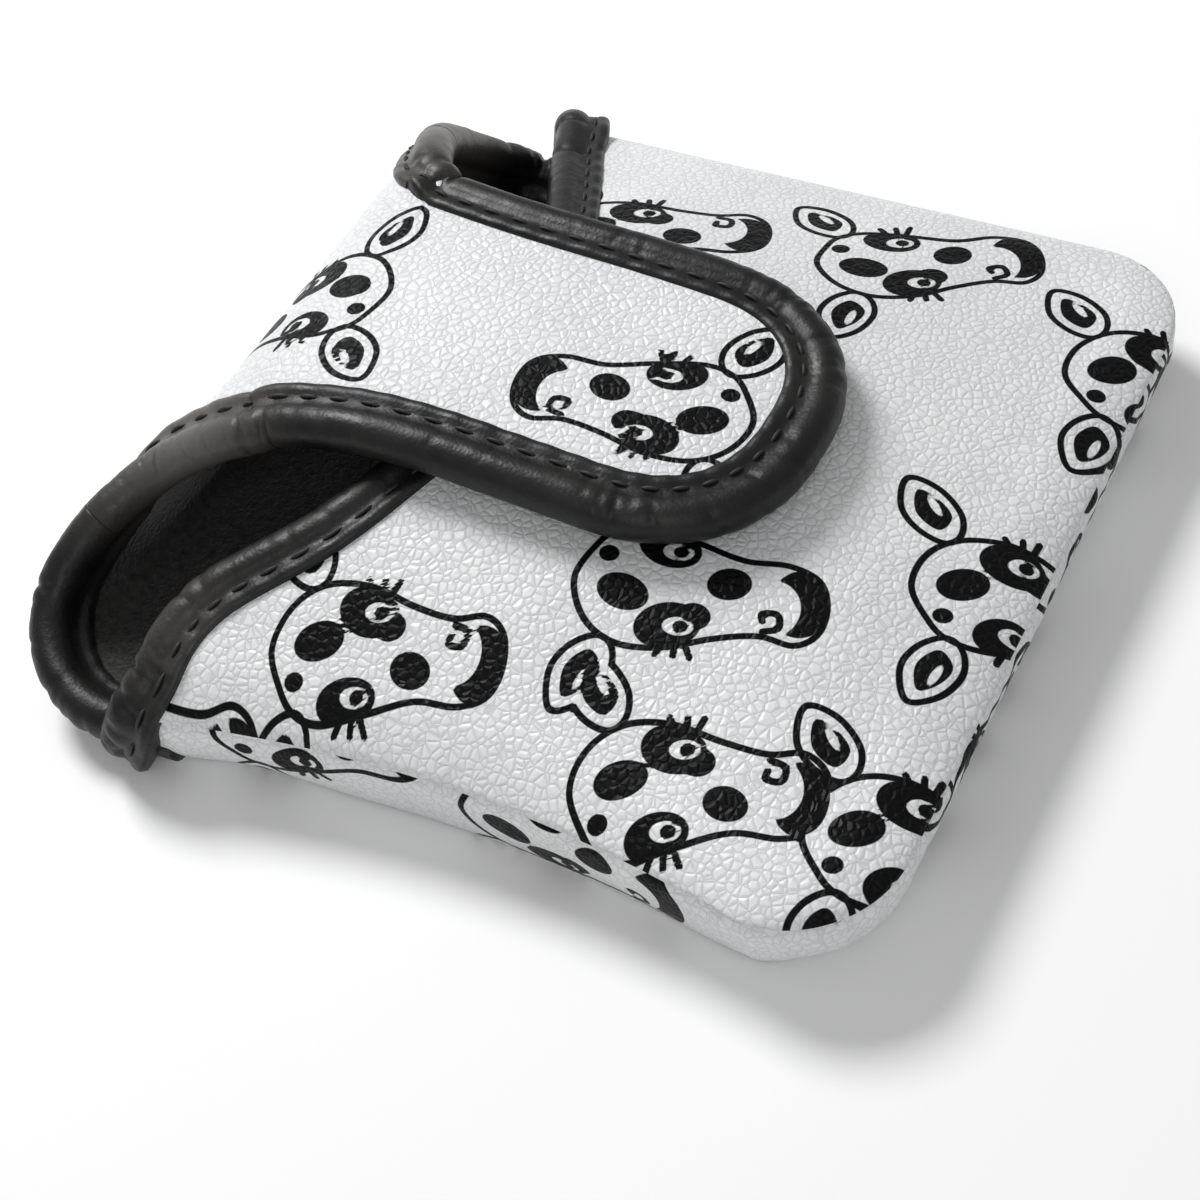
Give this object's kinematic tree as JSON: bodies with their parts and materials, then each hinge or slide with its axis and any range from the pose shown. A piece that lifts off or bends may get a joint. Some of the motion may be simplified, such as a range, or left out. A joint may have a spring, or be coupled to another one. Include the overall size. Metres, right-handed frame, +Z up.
{
  "type": "putter head cover",
  "caption": "Padded pocket for a square putter head, with a rolled edge round its open mouth and a strap that turns up into a rounded magnetic flap.",
  "frame": {"origin": "on the flat underside, at the middle of the mouth line", "axes": "+X from the mouth to the closed end, +Y across the cover, +Z up"},
  "size_m": [0.14, 0.1335, 0.0394],
  "materials": {
    "printed_leather": "pebble-grained, semi-gloss, printed with black line drawings of cow heads",
    "black_leather": "smooth, softly shining",
    "foam": "soft closed-cell foam",
    "fleece": "short plush nap",
    "core": "soft foam cord",
    "thread": "twisted bonded thread",
    "magnet": "nickel plated",
    "sleeve": "thin welded film"
  },
  "bodies": {
    "cover": {"top_panel": "printed_leather", "top_foam": "foam", "top_lining": "fleece", "side_gusset": "printed_leather", "gusset_foam": "foam", "gusset_lining": "fleece", "bottom_panel": "printed_leather", "bottom_foam": "foam", "bottom_lining": "fleece", "mouth_binding": "black_leather", "mouth_binding_core": "core", "lip_binding": "black_leather", "lip_binding_core": "core", "mouth_stitches": "thread", "top_magnets": "magnet", "top_magnet_sleeves": "sleeve"},
    "strap": {"strap_panel": "printed_leather", "strap_foam": "foam", "strap_lining": "fleece", "strap_binding": "black_leather", "strap_binding_core": "core"},
    "flap": {"flap_panel": "printed_leather", "flap_foam": "foam", "flap_lining": "fleece", "flap_binding": "black_leather", "flap_binding_core": "core", "flap_stitches": "thread", "flap_magnets": "magnet", "flap_magnet_sleeves": "sleeve"}
  },
  "joints": [
    {"name": "strap_bend", "type": "hinge", "parent": "cover", "child": "strap", "pos_m": [-0.03, 0, 0.011], "axis": [0, -1, 0], "range_deg": [0, 75]},
    {"name": "flap_fold", "type": "hinge", "parent": "strap", "child": "flap", "pos_m": [0, 0, 0.04], "axis": [0, -1, 0], "range_deg": [0, 135]}
  ]
}
